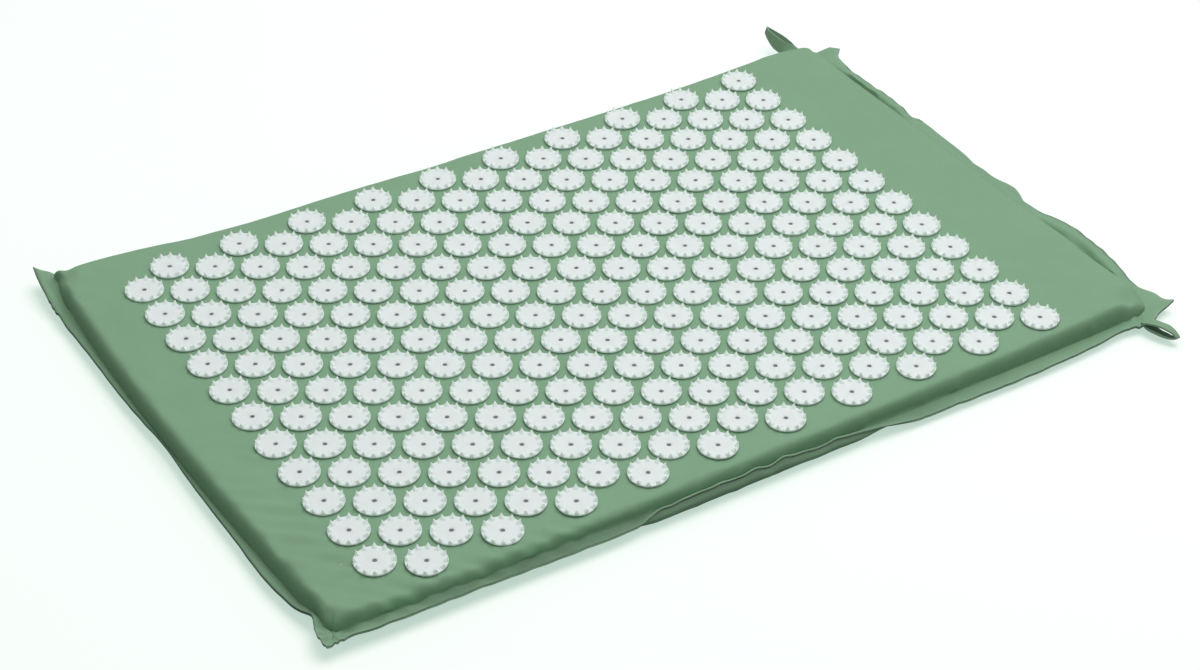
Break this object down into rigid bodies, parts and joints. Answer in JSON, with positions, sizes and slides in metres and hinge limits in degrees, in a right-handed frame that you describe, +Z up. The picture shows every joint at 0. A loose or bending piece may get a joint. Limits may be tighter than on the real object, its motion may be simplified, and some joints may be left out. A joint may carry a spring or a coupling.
{
  "type": "spike massage mat",
  "caption": "Acupressure massage mat: foam pad in a sewn cotton cover with staggered rows of round spiked plastic discs, a hook-and-loop mouth and two hanging loops.",
  "frame": {"origin": "middle of the underside, on the floor", "axes": "+X along the mat to the end with the mouth and the hanging loops, +Y across it to the back hanging loop, +Z up out of the spikes"},
  "size_m": [0.6408, 0.4614, 0.0272],
  "materials": {
    "sage_cotton": "matt woven cotton canvas",
    "white_plastic": "moulded, satin",
    "pad_foam": "open-cell foam",
    "hook_tape": "hook tape",
    "loop_tape": "napped loop tape"
  },
  "bodies": {
    "mat": {"cover_top_panel": "sage_cotton", "cover_bottom_panel": "sage_cotton", "foam_pad": "pad_foam", "closure_loop_tape": "loop_tape", "spiked_disc_01": "white_plastic", "spiked_disc_02": "white_plastic", "spiked_disc_03": "white_plastic", "spiked_disc_04": "white_plastic", "spiked_disc_05": "white_plastic", "spiked_disc_06": "white_plastic", "spiked_disc_07": "white_plastic", "spiked_disc_08": "white_plastic", "spiked_disc_09": "white_plastic", "spiked_disc_10": "white_plastic", "spiked_disc_11": "white_plastic", "spiked_disc_12": "white_plastic", "spiked_disc_13": "white_plastic", "spiked_disc_14": "white_plastic", "spiked_disc_15": "white_plastic", "spiked_disc_16": "white_plastic", "spiked_disc_17": "white_plastic", "spiked_disc_18": "white_plastic", "spiked_disc_19": "white_plastic", "spiked_disc_20": "white_plastic", "spiked_disc_21": "white_plastic", "spiked_disc_22": "white_plastic", "spiked_disc_23": "white_plastic", "spiked_disc_24": "white_plastic", "spiked_disc_25": "white_plastic", "spiked_disc_26": "white_plastic", "spiked_disc_27": "white_plastic", "spiked_disc_28": "white_plastic", "spiked_disc_29": "white_plastic", "spiked_disc_30": "white_plastic", "spiked_disc_31": "white_plastic", "spiked_disc_32": "white_plastic", "spiked_disc_33": "white_plastic", "spiked_disc_34": "white_plastic", "spiked_disc_35": "white_plastic", "spiked_disc_36": "white_plastic", "spiked_disc_37": "white_plastic", "spiked_disc_38": "white_plastic", "spiked_disc_39": "white_plastic", "spiked_disc_40": "white_plastic", "spiked_disc_41": "white_plastic", "spiked_disc_42": "white_plastic", "spiked_disc_43": "white_plastic", "spiked_disc_44": "white_plastic", "spiked_disc_45": "white_plastic", "spiked_disc_46": "white_plastic"},
    "flap": {"closure_flap": "sage_cotton", "closure_hook_tape": "hook_tape"},
    "back_loop": {"hanging_loop_back": "sage_cotton"},
    "front_loop": {"hanging_loop_front": "sage_cotton"}
  },
  "joints": [
    {"name": "mouth_flap_bend", "type": "hinge", "parent": "mat", "child": "flap", "pos_m": [0.30401, 0, 0.0116], "axis": [0, -1, 0], "range_deg": [0, 85]},
    {"name": "back_loop_bend", "type": "hinge", "parent": "mat", "child": "back_loop", "pos_m": [0.29241, 0.19889, 0.00765], "axis": [1, 0, 0], "range_deg": [-5, 80]},
    {"name": "front_loop_bend", "type": "hinge", "parent": "mat", "child": "front_loop", "pos_m": [0.29241, -0.19889, 0.00765], "axis": [-1, 0, 0], "range_deg": [-5, 80]}
  ]
}
